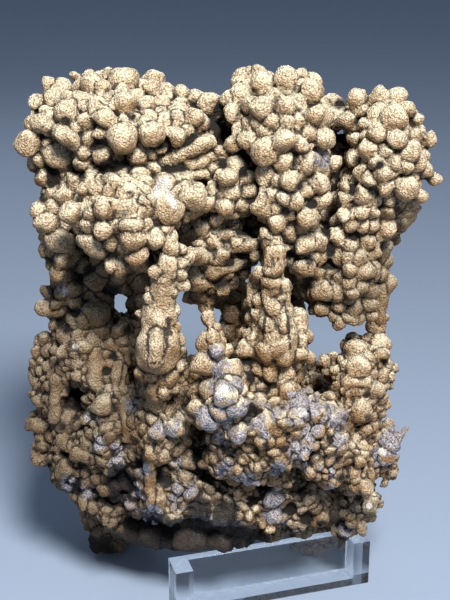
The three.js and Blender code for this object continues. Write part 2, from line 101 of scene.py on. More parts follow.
# How much of a listed nodule keeps others off, in the crown and in the rough base.
HOLD_CROWN = 0.97
HOLD_BASE = 0.92
BASE_TOP = 70 * MM
# The share of that height below which the skin has the base's full unevenness.
BASE_SHARE = 0.6
# The largest filling nodule in the base, and the smallest above it.
BASE_MOST = 1.6 * MM
CROWN_LEAST = 1.4 * MM
# Unevenness of the skin: how wide and how deep, and how many times deeper in the base.
ROUGHNESS = ((3.0 * MM, 0.35 * MM), (1.3 * MM, 0.22 * MM))
BASE_ROUGHER = 2.0
# The nodules are pushed out of round: how wide and how far, how much of that in the crown, the
# heights over which it sets in, and those over which it grows from the crown down to the base.
WARP = (4.2 * MM, 1.1 * MM)
WARP_CROWN = 0.75
WARP_FROM = (17 * MM, 23 * MM)
WARP_TO = (74 * MM, 62 * MM)
# Least gaps to the stand's strips and above the floor.
REST_GAP = 0.4 * MM
FLOOR_GAP = 0.1 * MM
# How far off the surface a ray from it starts.
RAY_START = 0.1 * MM
STAND = ("stand_base", "stand_back", "stand_end_left", "stand_end_right")

# Nodules seen from the front, in units of the view: across, down, radius.
NODULES = {
    "left_crown": (
        (110, 73, 7), (124, 81, 17), (125, 102, 13), (118, 68, 6), (150, 87, 10), (168, 90, 9),
        (181, 93, 8),
        (179, 105, 10), (162, 102, 9), (146, 105, 9), (151, 134, 14), (147, 122, 9),
        (209, 103, 13), (196, 97, 9), (194, 117, 11), (202, 123, 9), (188, 130, 8),
        (180, 118, 8), (177, 137, 11), (121, 138, 17), (98, 106, 11), (105, 119, 11),
        (86, 120, 8), (83, 92, 14), (76, 76, 6), (91, 80, 9), (102, 87, 8), (66, 84, 9),
        (48, 84, 9), (57, 99, 13), (66, 113, 14), (36, 102, 9), (36, 114, 7), (34, 123, 9),
        (51, 126, 12), (66, 134, 9), (75, 142, 8), (84, 151, 8), (28, 143, 14), (35, 164, 10),
        (61, 155, 16), (91, 139, 8), (102, 135, 8), (101, 157, 9), (117, 160, 9), (136, 158, 10),
        (149, 153, 9), (151, 169, 8), (172, 162, 7), (184, 156, 8), (196, 148, 7), (208, 143, 8),
        (198, 161, 9), (212, 157, 7), (170, 178, 8), (190, 173, 8), (212, 168, 8), (43, 178, 10),
        (136, 96, 9), (108, 100, 8), (165, 118, 8), (135, 121, 8), (88, 106, 7), (45, 111, 7),
        (222, 150, 8), (160, 147, 8), (49, 143, 9), (76, 128, 7), (186, 107, 6),
    ),
    "canopy": (
        (67, 196, 12), (71, 213, 12), (56, 206, 8), (85, 188, 10), (100, 184, 11), (120, 176, 10),
        (140, 176, 10), (110, 191, 8), (122, 193, 8), (136, 197, 8), (150, 200, 8),
        (103, 208, 12), (91, 213, 9), (120, 209, 8), (132, 211, 8), (145, 213, 8),
        (165, 183, 12), (168, 210, 16), (194, 198, 15), (206, 205, 10), (104, 229, 10),
        (132, 237, 14), (155, 239, 12), (136, 254, 13), (88, 243, 9), (98, 257, 9),
        (119, 266, 12), (151, 262, 8), (112, 244, 9), (118, 225, 8), (148, 225, 8),
        (46, 222, 13), (38, 210, 10), (57, 241, 13), (187, 216, 6), (189, 227, 8),
        (75, 230, 9), (88, 226, 8), (73, 256, 10), (85, 266, 9), (105, 268, 8), (178, 193, 8),
        (168, 228, 8), (182, 178, 7), (60, 262, 8), (80, 200, 8), (133, 184, 7), (140, 268, 7),
    ),
    "front_column": (
        (159, 273, 9), (172, 276, 6), (149, 290, 5), (174, 292, 6), (152, 300, 9), (141, 301, 5),
        (176, 309, 7), (142, 313, 7), (135, 323, 6), (175, 325, 6), (133, 342, 7), (135, 356, 7),
        (142, 371, 9), (151, 376, 9), (169, 377, 11), (180, 354, 9), (180, 340, 8),
        (179, 367, 8), (160, 379, 9), (138, 332, 7), (161, 251, 6), (181, 249, 6),
    ),
    "centre_ledges": (
        (201, 226, 10), (187, 254, 9), (200, 254, 9), (198, 282, 12), (190, 296, 8),
        (214, 240, 9), (222, 256, 9), (214, 272, 9), (228, 274, 8), (208, 298, 9), (222, 292, 8),
        (234, 298, 7), (228, 177, 11), (230, 191, 10), (226, 208, 9), (238, 222, 8),
        (236, 244, 8), (212, 186, 8), (216, 220, 8), (194, 270, 7), (206, 266, 7),
        (190, 262, 8), (190, 271, 9), (190, 284, 8), (192, 297, 8), (206, 305, 8), (218, 302, 7),
        (256, 256, 6), (245, 288, 6), (182, 265, 7), (182, 275, 7), (183, 285, 7), (184, 295, 7),
    ),
    "middle_crown": (
        (240, 79, 10), (259, 72, 9), (264, 82, 13), (285, 78, 13), (242, 95, 12), (233, 114, 11),
        (261, 108, 13), (287, 107, 11), (275, 95, 8), (312, 91, 13), (301, 87, 9), (315, 114, 10),
        (271, 121, 9), (287, 121, 9), (299, 121, 8), (257, 120, 9), (232, 144, 10),
        (247, 140, 11), (266, 151, 16), (285, 141, 13), (299, 146, 10), (282, 162, 10),
        (266, 131, 9), (308, 133, 8), (325, 139, 12), (320, 160, 11), (333, 164, 11),
        (306, 164, 11), (290, 180, 11), (277, 180, 7), (320, 184, 12), (335, 186, 10),
        (323, 199, 10), (273, 194, 10), (284, 198, 8), (296, 203, 9), (262, 208, 12),
        (251, 220, 8), (277, 224, 11), (265, 235, 7), (290, 231, 10), (251, 230, 8),
        (308, 217, 12), (305, 244, 12), (318, 240, 11), (296, 263, 9), (308, 269, 9),
        (251, 191, 9), (252, 166, 9), (250, 178, 9), (306, 192, 8), (302, 228, 8), (226, 128, 8),
        (248, 126, 8), (228, 100, 9), (298, 100, 8), (276, 208, 8), (322, 216, 8), (284, 248, 8),
        (320, 258, 8), (244, 206, 8), (250, 71, 7), (300, 75, 7), (322, 103, 7),
    ),
    "right_crown": (
        (357, 98, 11), (339, 114, 9), (349, 121, 11), (363, 110, 9), (380, 95, 11), (398, 98, 11),
        (406, 109, 9), (394, 117, 14), (356, 141, 9), (376, 132, 12), (368, 150, 10),
        (397, 139, 10), (414, 135, 9), (430, 139, 9), (386, 152, 8), (412, 151, 11),
        (394, 163, 8), (407, 166, 9), (363, 171, 10), (385, 173, 11), (424, 170, 10),
        (434, 178, 7), (387, 187, 9), (407, 188, 13), (421, 197, 8), (364, 196, 11),
        (361, 213, 8), (373, 213, 7), (390, 200, 7), (388, 211, 7), (411, 208, 10),
        (387, 229, 9), (374, 226, 7), (370, 243, 7), (344, 198, 8), (347, 174, 8), (342, 212, 7),
        (337, 236, 9), (351, 246, 8), (337, 258, 7), (348, 257, 7), (360, 258, 7), (350, 270, 7),
        (328, 272, 7), (318, 292, 9), (335, 292, 9), (320, 309, 8), (338, 306, 8), (371, 289, 9),
        (371, 303, 9), (356, 308, 8), (388, 262, 7), (333, 317, 8), (325, 325, 7), (339, 325, 8),
        (358, 319, 7), (373, 317, 7), (352, 293, 8), (350, 282, 7), (366, 273, 7), (382, 277, 7),
        (400, 222, 8), (352, 226, 8), (345, 158, 8), (418, 118, 7), (424, 156, 7), (376, 162, 7),
        (366, 126, 7), (346, 187, 7), (362, 228, 7), (396, 240, 7), (386, 245, 7), (351, 320, 7),
    ),
    "broad_column": (
        (274, 244, 9), (274, 255, 12), (273, 268, 12), (273, 283, 13), (283, 287, 10),
        (275, 306, 13), (270, 324, 11), (308, 336, 8), (298, 342, 11), (268, 352, 13),
        (284, 357, 11), (299, 354, 9), (259, 371, 8), (270, 373, 10), (286, 374, 11),
        (299, 373, 9), (310, 357, 8), (260, 387, 10), (247, 322, 6), (245, 348, 10),
        (239, 333, 5), (254, 340, 8), (236, 360, 8), (246, 366, 9), (276, 388, 8), (292, 388, 8),
    ),
    "left_column": (
        (82, 288, 8), (87, 294, 8), (97, 313, 14), (101, 327, 12), (104, 294, 12), (83, 320, 7),
        (76, 303, 7), (79, 336, 7), (76, 356, 5), (77, 366, 9), (77, 377, 8), (74, 385, 7),
        (81, 402, 8), (102, 404, 12), (118, 407, 5), (131, 388, 6), (135, 394, 7), (124, 413, 6),
        (61, 278, 13), (74, 290, 8), (110, 344, 7), (132, 304, 7), (112, 282, 8), (130, 284, 7),
        (92, 340, 8), (104, 356, 6), (118, 330, 7), (72, 348, 6),
        (107, 297, 8), (107, 311, 8), (117, 286, 8), (128, 290, 7), (115, 319, 8), (127, 317, 6),
        (112, 291, 7), (121, 288, 7), (109, 305, 7), (112, 314, 6), (121, 317, 6),
    ),
    "base_left": (
        (45, 276, 6), (47, 292, 7), (60, 292, 7), (45, 339, 8), (37, 351, 7), (48, 352, 7),
        (34, 362, 6), (47, 366, 6), (61, 354, 7), (62, 362, 6), (33, 378, 7), (39, 385, 6),
        (39, 401, 8), (40, 412, 5), (41, 448, 6), (39, 457, 8), (44, 463, 5), (64, 441, 9),
        (59, 449, 7), (68, 444, 8), (84, 436, 8), (85, 443, 8), (59, 460, 6), (64, 469, 10),
        (77, 470, 7), (85, 470, 8), (56, 477, 7), (69, 484, 8), (87, 492, 8), (97, 493, 4),
        (83, 503, 8), (96, 508, 8), (108, 509, 6), (83, 512, 5), (95, 522, 7), (110, 522, 7),
        (105, 520, 6), (90, 418, 8), (107, 427, 7), (110, 436, 5), (102, 445, 9), (107, 451, 6),
        (117, 463, 8), (121, 447, 7), (130, 444, 8), (136, 454, 7), (142, 507, 5), (50, 386, 7),
        (70, 400, 7), (52, 436, 7), (98, 478, 7), (74, 496, 6), (114, 486, 7), (124, 496, 7),
        (54, 325, 7), (52, 404, 6), (64, 392, 6), (92, 458, 6), (120, 508, 7), (98, 432, 6),
    ),
    "base_front": (
        (208, 319, 9), (217, 327, 6), (214, 336, 8), (226, 350, 9), (202, 365, 12), (217, 351, 8),
        (231, 370, 13), (226, 394, 16), (236, 406, 14), (220, 410, 12), (232, 384, 12),
        (209, 417, 15), (196, 409, 10),
        (191, 399, 6), (186, 412, 6), (297, 404, 14), (302, 412, 9), (316, 411, 12), (264, 424, 16),
        (240, 432, 11), (235, 440, 6), (220, 439, 7), (213, 449, 5), (222, 453, 5), (232, 452, 5),
        (241, 452, 5), (296, 434, 6), (310, 436, 7), (306, 427, 6), (319, 429, 8), (295, 448, 8),
        (295, 455, 5), (306, 453, 7), (316, 457, 7), (281, 462, 6), (272, 471, 6), (258, 467, 5),
        (255, 480, 5), (292, 464, 6), (301, 467, 7), (311, 471, 7), (225, 471, 5), (233, 478, 6),
        (214, 458, 5), (217, 467, 5), (242, 464, 5), (247, 459, 5), (231, 462, 5), (217, 485, 6),
        (217, 495, 4), (204, 499, 6), (239, 492, 6), (249, 485, 6), (255, 492, 6), (273, 499, 10),
        (273, 515, 10), (277, 527, 7), (265, 536, 8), (282, 534, 6), (262, 545, 5),
        (175, 464, 8), (176, 489, 7), (175, 503, 6), (190, 491, 8), (188, 459, 10), (133, 452, 9),
        (128, 434, 10), (145, 503, 5), (158, 431, 10), (175, 427, 12), (184, 440, 8),
        (170, 443, 8), (150, 440, 7), (196, 470, 7), (186, 476, 7), (200, 484, 6), (228, 505, 6),
        (242, 508, 6), (256, 508, 6), (212, 508, 6), (260, 522, 6), (244, 522, 6),
        (262, 450, 7), (274, 452, 6), (284, 478, 5), (296, 480, 5), (288, 392, 9), (274, 392, 7),
        (282, 440, 6), (246, 474, 5), (266, 462, 5), (224, 488, 5), (196, 432, 8), (286, 424, 7),
    ),
    "base_right": (
        (353, 339, 8), (367, 339, 7), (357, 353, 15), (359, 368, 13), (333, 356, 6), (344, 344, 6),
        (381, 354, 7), (393, 368, 6), (391, 378, 6), (382, 375, 9), (389, 387, 5), (376, 391, 9),
        (382, 398, 6), (316, 380, 7), (335, 379, 5), (343, 391, 5), (357, 392, 7), (361, 409, 14),
        (372, 405, 5), (374, 415, 5), (383, 412, 5), (336, 417, 13), (322, 415, 9), (338, 439, 8),
        (352, 432, 5), (357, 437, 4), (351, 445, 4), (364, 445, 5), (331, 450, 6), (346, 454, 6),
        (359, 459, 8), (319, 464, 6), (337, 464, 6), (318, 476, 5), (308, 476, 5), (343, 471, 5),
        (355, 471, 8), (384, 454, 13), (393, 442, 11), (392, 475, 6), (384, 483, 6), (388, 426, 7),
        (374, 464, 5), (334, 483, 6), (342, 482, 5), (327, 491, 6), (341, 492, 5), (327, 501, 6),
        (364, 487, 10), (355, 489, 7), (352, 499, 5), (369, 506, 10), (357, 506, 6), (343, 503, 5),
        (345, 512, 6), (351, 515, 5), (333, 516, 6), (361, 517, 5), (351, 522, 6), (345, 530, 9),
        (364, 529, 7), (359, 535, 5), (315, 508, 7), (328, 372, 6), (348, 424, 6), (366, 430, 6),
        (330, 398, 8), (372, 376, 7), (364, 452, 5), (370, 440, 5), (324, 441, 6), (322, 453, 5),
        (331, 470, 5), (350, 404, 6), (346, 364, 6), (374, 350, 7), (388, 362, 6), (324, 362, 7),
        (311, 367, 7),
        (310, 390, 7), (320, 396, 7), (378, 424, 6), (376, 436, 6), (320, 486, 5), (366, 470, 5),
    ),
}

# Thick smooth growths that carry the columns' nodules, and long ones of a nodule's size, as seen
# from the front: across and down at both ends, and the radius at each.
TRUNKS = (
    (171, 234, 170, 264, 7.5, 8.5), (167, 262, 161, 300, 10, 17), (160, 300, 158, 354, 17, 22),
    (273, 240, 273, 290, 10, 12), (278, 290, 278, 345, 13, 20),
)
RIDGES = (
    (157, 333, 156, 360, 8.5, 8.5), (151, 385, 156, 404, 4, 11), (94, 354, 95, 386, 7.5, 7.5),
    (258, 272, 246, 319, 7, 7),
    (297, 303, 301, 327, 7, 7), (286, 311, 284, 327, 7, 7),
    (167, 162, 208, 143, 8, 8), (188, 164, 210, 157, 7, 7), (169, 178, 208, 173, 9, 9),
    (115, 173, 148, 193, 7, 6), (110, 180, 146, 203, 8, 7), (99, 203, 146, 210, 8, 7),
    (118, 214, 146, 216, 6, 6), (90, 179, 99, 189, 10, 10), (58, 130, 74, 139, 9, 9),
    (36, 124, 53, 124, 10, 10), (56, 155, 68, 159, 14, 14), (83, 238, 99, 252, 10, 9),
    (110, 266, 129, 263, 9, 9), (189, 233, 212, 235, 5, 5), (195, 243, 213, 244, 5, 5),
    (184, 257, 204, 256, 9, 9), (214, 272, 252, 258, 8, 8), (219, 235, 254, 236, 6, 6),
    (232, 247, 253, 247, 6, 6), (191, 296, 212, 296, 7, 7), (294, 244, 319, 245, 8, 8),
    (290, 261, 319, 271, 7, 7), (123, 227, 138, 226, 7, 7), (124, 248, 137, 254, 7, 8),
    (394, 440, 409, 427, 8, 1.5), (344, 534, 340, 547, 6, 2), (30, 423, 46, 428, 6, 7),
    (71, 411, 65, 429, 5, 7), (75, 454, 88, 457, 7, 7), (125, 406, 130, 434, 9, 10),
    (131, 466, 137, 480, 6, 5), (44, 308, 58, 311, 8, 8), (56, 380, 56, 418, 6, 6),
    (117, 367, 116, 394, 5, 5), (125, 351, 126, 366, 5, 5), (123, 370, 123, 394, 4.5, 4.5),
    (383, 286, 380, 320, 4, 4), (347, 381, 367, 382, 7, 7), (149, 446, 152, 504, 7, 6),
    (160, 485, 160, 508, 5, 5), (132, 514, 200, 521, 4, 5), (200, 521, 235, 530, 5, 5),
    (116, 528, 138, 532, 9, 12), (134, 533, 160, 538, 10, 12), (154, 538, 178, 538, 9, 12),
    (174, 540, 200, 540, 9, 11), (196, 542, 226, 542, 8, 10), (270, 482, 286, 478, 4, 4),
    (304, 160, 322, 168, 10, 10), (262, 208, 268, 196, 11, 11),
    (60, 90, 55, 101, 12, 12), (196, 282, 200, 272, 11, 9), (318, 292, 336, 293, 8, 8),
)

# Smooth grey metallic mineral, where the coat is worn or broken away.
WORN = (
    (53, 208, 9), (321, 160, 9), (102, 444, 11), (88, 492, 9), (61, 292, 8), (121, 447, 8),
    (176, 464, 7), (176, 427, 11), (158, 430, 9), (117, 463, 9), (230, 398, 25), (209, 417, 15),
    (264, 422, 18), (299, 406, 20), (322, 416, 16), (336, 418, 15), (338, 440, 10), (69, 484, 9),
    (274, 500, 13), (276, 518, 12), (345, 531, 10), (369, 506, 12), (386, 452, 17),
    (394, 440, 14), (220, 440, 9), (236, 432, 12), (312, 434, 11), (295, 448, 9), (90, 418, 8),
    (132, 405, 7), (144, 470, 8), (190, 490, 8), (150, 516, 14), (176, 518, 14), (202, 524, 14),
    (228, 528, 14), (176, 492, 9), (134, 496, 12), (214, 350, 9), (225, 372, 14), (304, 464, 12),
    (246, 486, 14), (226, 470, 10), (328, 470, 10), (330, 494, 9), (306, 452, 9), (278, 470, 9),
)
# Bare broken mineral at the foot, painted nearly black: partly its own dark colour, partly
# painted shade under the base. No more nodules grow there.
BROKEN_AND_SHADED = (
    (140, 530, 16), (160, 534, 18), (185, 538, 20), (210, 540, 20), (235, 542, 18), (255, 544, 14),
    (165, 482, 6), (200, 510, 12), (225, 514, 12), (122, 484, 14), (342, 543, 7), (118, 474, 10),
    (135, 548, 14), (160, 552, 14), (190, 556, 14), (220, 558, 14), (250, 556, 10),
    (88, 548, 12), (104, 552, 15), (122, 548, 15),
)
# Deep gaps, left unfilled and painted nearly black as shade.
SHADED_GAPS = (
    (65, 121, 6), (102, 143, 6), (108, 167, 8), (118, 166, 6), (163, 144, 6), (190, 139, 6),
    (182, 168, 7), (171, 170, 6), (213, 124, 6), (53, 178, 8), (34, 172, 6), (43, 198, 6),
    (75, 169, 6), (82, 176, 5), (97, 146, 5), (133, 117, 4), (218, 110, 6), (219, 130, 6),
    (224, 165, 5), (243, 173, 5), (339, 103, 6), (342, 130, 6), (345, 150, 5), (341, 170, 5),
    (379, 165, 5), (372, 190, 6), (354, 190, 5), (398, 210, 5), (312, 205, 5), (300, 186, 5),
    (285, 212, 5), (240, 232, 6), (229, 262, 6), (222, 284, 7), (240, 283, 7), (247, 268, 6),
    (147, 284, 5), (113, 292, 8), (124, 284, 6), (131, 318, 6), (127, 330, 6), (188, 268, 5),
    (296, 284, 7), (306, 283, 7), (310, 262, 5), (326, 232, 5), (332, 250, 5), (354, 236, 5),
    (76, 312, 6), (66, 330, 6), (60, 322, 5), (88, 270, 6),
    (50, 262, 6), (70, 345, 5), (113, 356, 5), (106, 372, 5), (85, 412, 5), (70, 390, 5),
    (62, 426, 6), (76, 486, 8), (50, 470, 6), (112, 500, 7), (113, 478, 7), (128, 500, 5),
    (140, 462, 5), (198, 456, 7), (205, 472, 7), (206, 448, 5), (250, 408, 5), (282, 408, 4),
    (266, 446, 5), (284, 450, 5), (252, 500, 5), (290, 508, 7), (300, 490, 6), (330, 440, 5),
    (345, 418, 4), (306, 520, 7), (322, 524, 6), (340, 478, 5), (368, 418, 4), (366, 395, 4),
    (384, 362, 4), (345, 352, 5), (250, 378, 5), (252, 360, 4), (295, 366, 4),
)
# Narrow furrows painted dark as shade, each from end to end and half as wide as the last number.
FURROWS = (
    (148, 332, 147, 352, 1.6), (149, 330, 156, 325, 1.6), (156, 325, 164, 329, 2.2),
    (165, 329, 167, 346, 3.0), (167, 344, 163, 360, 2.0), (168, 318, 170, 334, 2.6),
    (150, 362, 160, 364, 1.5), (265, 318, 262, 344, 2.0), (288, 322, 290, 348, 2.0),
    (284, 300, 288, 318, 1.8),
)
# White crust, and painted highlights where the mineral glints.
CRUST_AND_GLINTS = (
    (164, 184, 9), (157, 192, 7), (170, 196, 6), (174, 205, 5), (222, 391, 8), (302, 412, 6),
    (28, 105, 3), (75, 347, 4), (136, 484, 3), (382, 452, 5), (369, 506, 4),
)

# How squarely a point faces the view where a patch begins to show on it and where it shows in
# full, how far behind its nearest point a patch reaches, and the share of that before it fades.
FACING = (-0.2, 0.3)
PATCH_DEEP = 16 * MM
BROKEN_AND_SHADED_DEEP = 34 * MM
FADE_FROM = 0.6
# How soft the edge is of what stays unfilled, and the least of it that counts.
CLOSED_FEATHER = 0.2
CLOSED_FROM = 0.5
# The painted patches: name, rows, softness of the edge and how deep they reach. The broken foot
# and the gaps carry painted shade, the crust also painted highlights.
PATCHES = (
    ("bare", WORN, 0.7, PATCH_DEEP),
    ("broken_and_shade", BROKEN_AND_SHADED, 0.5, BROKEN_AND_SHADED_DEEP),
    ("crust_and_glint", CRUST_AND_GLINTS, 0.45, PATCH_DEEP),
    ("gap_shade", SHADED_GAPS, 0.5, PATCH_DEEP),
)
FURROW_FEATHER = 0.5

# Colours, linear.
# The first tan is the coat where painted light from above falls.
TAN_LIT = (0.82, 0.73, 0.54, 1)
TAN = (0.53, 0.37, 0.205, 1)
# Ochre is the warm coat lower down and the painted shade on what faces down.
OCHRE = (0.33, 0.175, 0.06, 1)
GREY_BROWN = (0.27, 0.22, 0.165, 1)
# The coat in painted shade.
SHADED_COAT = (0.13, 0.09, 0.048, 1)
# The near-black of painted shade in hollows, creases, gaps, seams and furrows.
SHADE_BLACK = (0.012, 0.009, 0.007, 1)
METAL = (0.10, 0.092, 0.105, 1)
METAL_PALE = (0.44, 0.41, 0.42, 1)
# The broken foot's near-black: its own dark colour and painted shade under the base.
BROKEN_AND_SHADE_BLACK = (0.014, 0.012, 0.012, 1)
# White crust, which also stands for painted highlights where the mineral glints.
CRUST_AND_HIGHLIGHT = (0.62, 0.60, 0.56, 1)
PIT = (0.10, 0.072, 0.048, 1)

# Painted shade where the mineral lies in shadow, in millimetres of the frame: x, y, z and reach.
SHADE_SPOTS = (
    (-42, -2, 50, 42), (-39, -6, 25, 33), (-14, -14, 8, 16), (-36, 6, 86, 22),
    (2, 0, 92, 16), (-14, 2, 70, 24), (33, 0, 88, 16),
)

# The shares of a reach over which the painted shade comes in, and the heights over which painted
# shade darkens the foot.
SHADE_EDGE = (1.0, 0.35)
FOOT_SHADE = (15 * MM, 6 * MM)
# The upward parts of a normal between which painted light from above comes in.
UPWARD = (-0.35, 0.95)

# Creases, which painted shade darkens: how far the surface is smoothed to find fine and broad
# ones, and their depths.
CREASE_SMOOTHING = 40
CREASE_DEPTHS = (0.1 * MM, 1.5 * MM)
# Seams between nodules, cut a little and painted dark as shade: how many nodules are looked at,
# how sharply two must meet (the chord of the angle between their surfaces), half the seam's width
# and how deep it is cut.
SEAM_NEIGHBOURS = 20
SEAM_TURN = 0.45
SEAM_WIDTH = 0.6 * MM
SEAM_CUT = 0.35 * MM
# How shut in a point is, for the painted shade in hollows: rays sent out, how far they reach, and
# how steeply a ray has to leave the surface to count.
HOLLOW_RAYS = 26
HOLLOW_REACH = 6 * MM
HOLLOW_LEAST = 0.1
# Heights between which the coat turns from ochre to pale, and from grey-brown to tan.
WARM_FROM = 150 * MM
WARM_TO = 55 * MM
GREY_FROM = 72 * MM
GREY_TO = 30 * MM

STAND_EDGE = 0.25 * MM
FLOOR_HALF = 3.0
FLOOR_DROP = 0.2 * MM
FLOOR_COLOUR = (0.262, 0.332, 0.45, 1)
WORLD_COLOUR = (0.34, 0.42, 0.54, 1)
WORLD_STRENGTH = 0.4
# The lights: name, place, size, power and colour. All shine at one point.
LIT_POINT = (0, 0, 0.08)
LIGHTS = (
    ("key", (0.09, -0.39, 0.53), 0.16, 8.3, (1.0, 0.96, 0.91)),
    ("fill", (0.50, -0.50, 0.25), 0.35, 0.5, (0.92, 0.96, 1.0)),
    ("rim", (-0.30, 0.50, 0.40), 0.25, 0.4, (0.95, 0.97, 1.0)),
)

def stand_middle():
    ends = [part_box("stand_end_left"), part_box("stand_end_right")]
    middle = sum((low + high for low, high in ends), Vector()) / 4
    middle.z = 0
    return middle


VIEW_CENTRE = stand_middle() + VIEW_FROM_STAND + Vector((0, 0, VIEW_HEIGHT))
EYE = VIEW_CENTRE + VIEW_DISTANCE * Vector((0, -math.cos(VIEW_PITCH), math.sin(VIEW_PITCH)))
FORWARD = (VIEW_CENTRE - EYE).normalized()
RIGHT = Vector((1, 0, 0))
UP = RIGHT.cross(FORWARD)


def sight_line(across, down):
    x = (across - VIEW_SIZE[0] / 2) / FOCAL
    y = (VIEW_SIZE[1] / 2 - down) / FOCAL
    return (FORWARD + x * RIGHT + y * UP).normalized()


def seen_in_view(points):
    """Across and down in the view of each point, and its distance."""
    away = points - np.array(EYE)
    depth = away @ np.array(FORWARD)
    across = VIEW_SIZE[0] / 2 + FOCAL * (away @ np.array(RIGHT)) / depth
    down = VIEW_SIZE[1] / 2 - FOCAL * (away @ np.array(UP)) / depth
    return across, down, depth


def mesh_arrays(mesh):
    points = np.empty(len(mesh.vertices) * 3)
    mesh.vertices.foreach_get("co", points)
    normals = np.empty(len(mesh.vertices) * 3)
    mesh.vertices.foreach_get("normal", normals)
    return points.reshape(-1, 3), normals.reshape(-1, 3)


def new_object(name, points, faces):
    mesh = bpy.data.meshes.new(name)
    mesh.from_pydata(np.asarray(points).tolist(), [], np.asarray(faces).tolist())
    thing = bpy.data.objects.new(name, mesh)
    bpy.context.scene.collection.objects.link(thing)
    return thing


def with_modifiers(thing, *settings):
    """The object's mesh after the modifiers, each (kind, {setting: value}); drops the object."""
    for kind, values in settings:
        modifier = thing.modifiers.new(kind.lower(), kind)
        for key, value in values.items():
            setattr(modifier, key, value)
    graph = bpy.context.evaluated_depsgraph_get()
    mesh = bpy.data.meshes.new_from_object(thing.evaluated_get(graph))
    bpy.data.objects.remove(thing)
    return mesh


def unit_ball(level):
    bpy.ops.mesh.primitive_ico_sphere_add(subdivisions=level, radius=1)
    ball = bpy.context.object
    points, _ = mesh_arrays(ball.data)
    faces = np.array([list(face.vertices) for face in ball.data.polygons])
    bpy.data.objects.remove(ball)
    return points, faces


def balls(centres, radii, level):
    """Points and faces of many balls as one mesh."""
    points, faces = unit_ball(level)
    centres, radii = np.asarray(centres), np.asarray(radii)
    all_points = centres[:, None, :] + radii[:, None, None] * points[None, :, :]
    offsets = (np.arange(len(centres)) * len(points))[:, None, None]
    return all_points.reshape(-1, 3), (faces[None, :, :] + offsets).reshape(-1, 3)


def remeshed(points, faces, voxel, smoothing):
    thing = new_object("working", points, faces)
    return with_modifiers(
        thing,
        ("REMESH", {"mode": "VOXEL", "voxel_size": voxel, "adaptivity": 0.0}),
        ("SMOOTH", {"factor": 0.5, "iterations": smoothing}),
    )


def triangles_of(mesh):
    mesh.calc_loop_triangles()
    faces = np.empty(len(mesh.loop_triangles) * 3, dtype=np.int32)
    mesh.loop_triangles.foreach_get("vertices", faces)
    return faces.reshape(-1, 3)


def joined(*pairs):
    points, faces, start = [], [], 0
    for piece_points, piece_faces in pairs:
        points.append(piece_points)
        faces.append(piece_faces + start)
        start += len(piece_points)
    return np.concatenate(points), np.concatenate(faces)


def rounded_core(node):
    """The solid a little shrunk, with its facets rounded off."""
    points, normals = mesh_arrays(node.data)
    mesh = remeshed(points, triangles_of(node.data), CORE_VOXEL, CORE_SMOOTHING)
    points, normals = mesh_arrays(mesh)
    return points - SHRINK * normals, triangles_of(mesh)


def seated(tree, across, down):
    """The sight line at a spot of the view, how far along it the surface lies, and by how much
    it misses the surface."""
    along = sight_line(across, down)
    hit, _, _, distance = tree.ray_cast(EYE, along)
    if hit is not None:
        return along, distance, 0.0
    reaches = np.arange(*SEARCHED).tolist()
    misses = [tree.find_nearest(EYE + along * reach)[3] for reach in reaches]
    nearest = int(np.argmin(misses))
    return along, reaches[nearest], misses[nearest]


def front_nodules(tree):
    centres, radii = [], []
    for group, rows in NODULES.items():
        for across, down, radius in rows:
            along, distance, missed = seated(tree, across, down)
            size = NODULE_SIZE * radius * distance / FOCAL
            if missed < size:
                sink = max(size * SINKS.get(group, SINK), size - STAND_OUT)
                centres.append(EYE + along * (distance + sink))
                radii.append(size)
    return np.array(centres), np.array(radii), np.arange(len(radii))


def ridge_balls(tree, rows):
    """Rows of balls along the long growths, none deeper than the line between the two ends."""
    centres, radii, owners = [], [], []
    for owner, (across_a, down_a, across_b, down_b, radius_a, radius_b) in enumerate(rows):
        length = math.hypot(across_b - across_a, down_b - down_a)
        steps = math.ceil(2 * length / (RIDGE_STEP * (radius_a + radius_b)))
        first = seated(tree, across_a, down_a)[1]
        last = seated(tree, across_b, down_b)[1]
        for share in np.linspace(0, 1, steps + 1).tolist():
            across = across_a + (across_b - across_a) * share
            down = down_a + (down_b - down_a) * share
            along, distance, _ = seated(tree, across, down)
            distance = min(distance, first + (last - first) * share)
            size = (radius_a + (radius_b - radius_a) * share) * distance / FOCAL
            sink = max(size * RIDGE_SINK, size - STAND_OUT)
            centres.append(EYE + along * (distance + sink))
            radii.append(size)
            owners.append(owner)
    return np.array(centres), np.array(radii), np.array(owners)


def drawn(cells, turn):
    """A random value from 0 to 1 for each cell, whatever the order they come in."""
    shifted = cells + np.array((SEED, turn, 0)) + 0.5
    return np.array([0.5 + 0.5 * noise.cell(Vector(cell)) for cell in shifted.tolist()])


def spots_at_random(points):
    """One point of each cell, in random order, and a share from 0 to 1 for each."""
    places = points / SPOT_CELL + SPOT_SHIFT
    cells = np.floor(places)
    off = np.linalg.norm(places - cells - 0.5, axis=1)
    order = np.lexsort((off, cells[:, 2], cells[:, 1], cells[:, 0]))
    new = np.ones(len(order), dtype=bool)
    new[1:] = (np.diff(cells[order], axis=0) != 0).any(axis=1)
    spots = order[new]
    turn = np.argsort(drawn(cells[spots], 1), kind="stable")
    return spots[turn], drawn(cells[spots], 2)[turn]


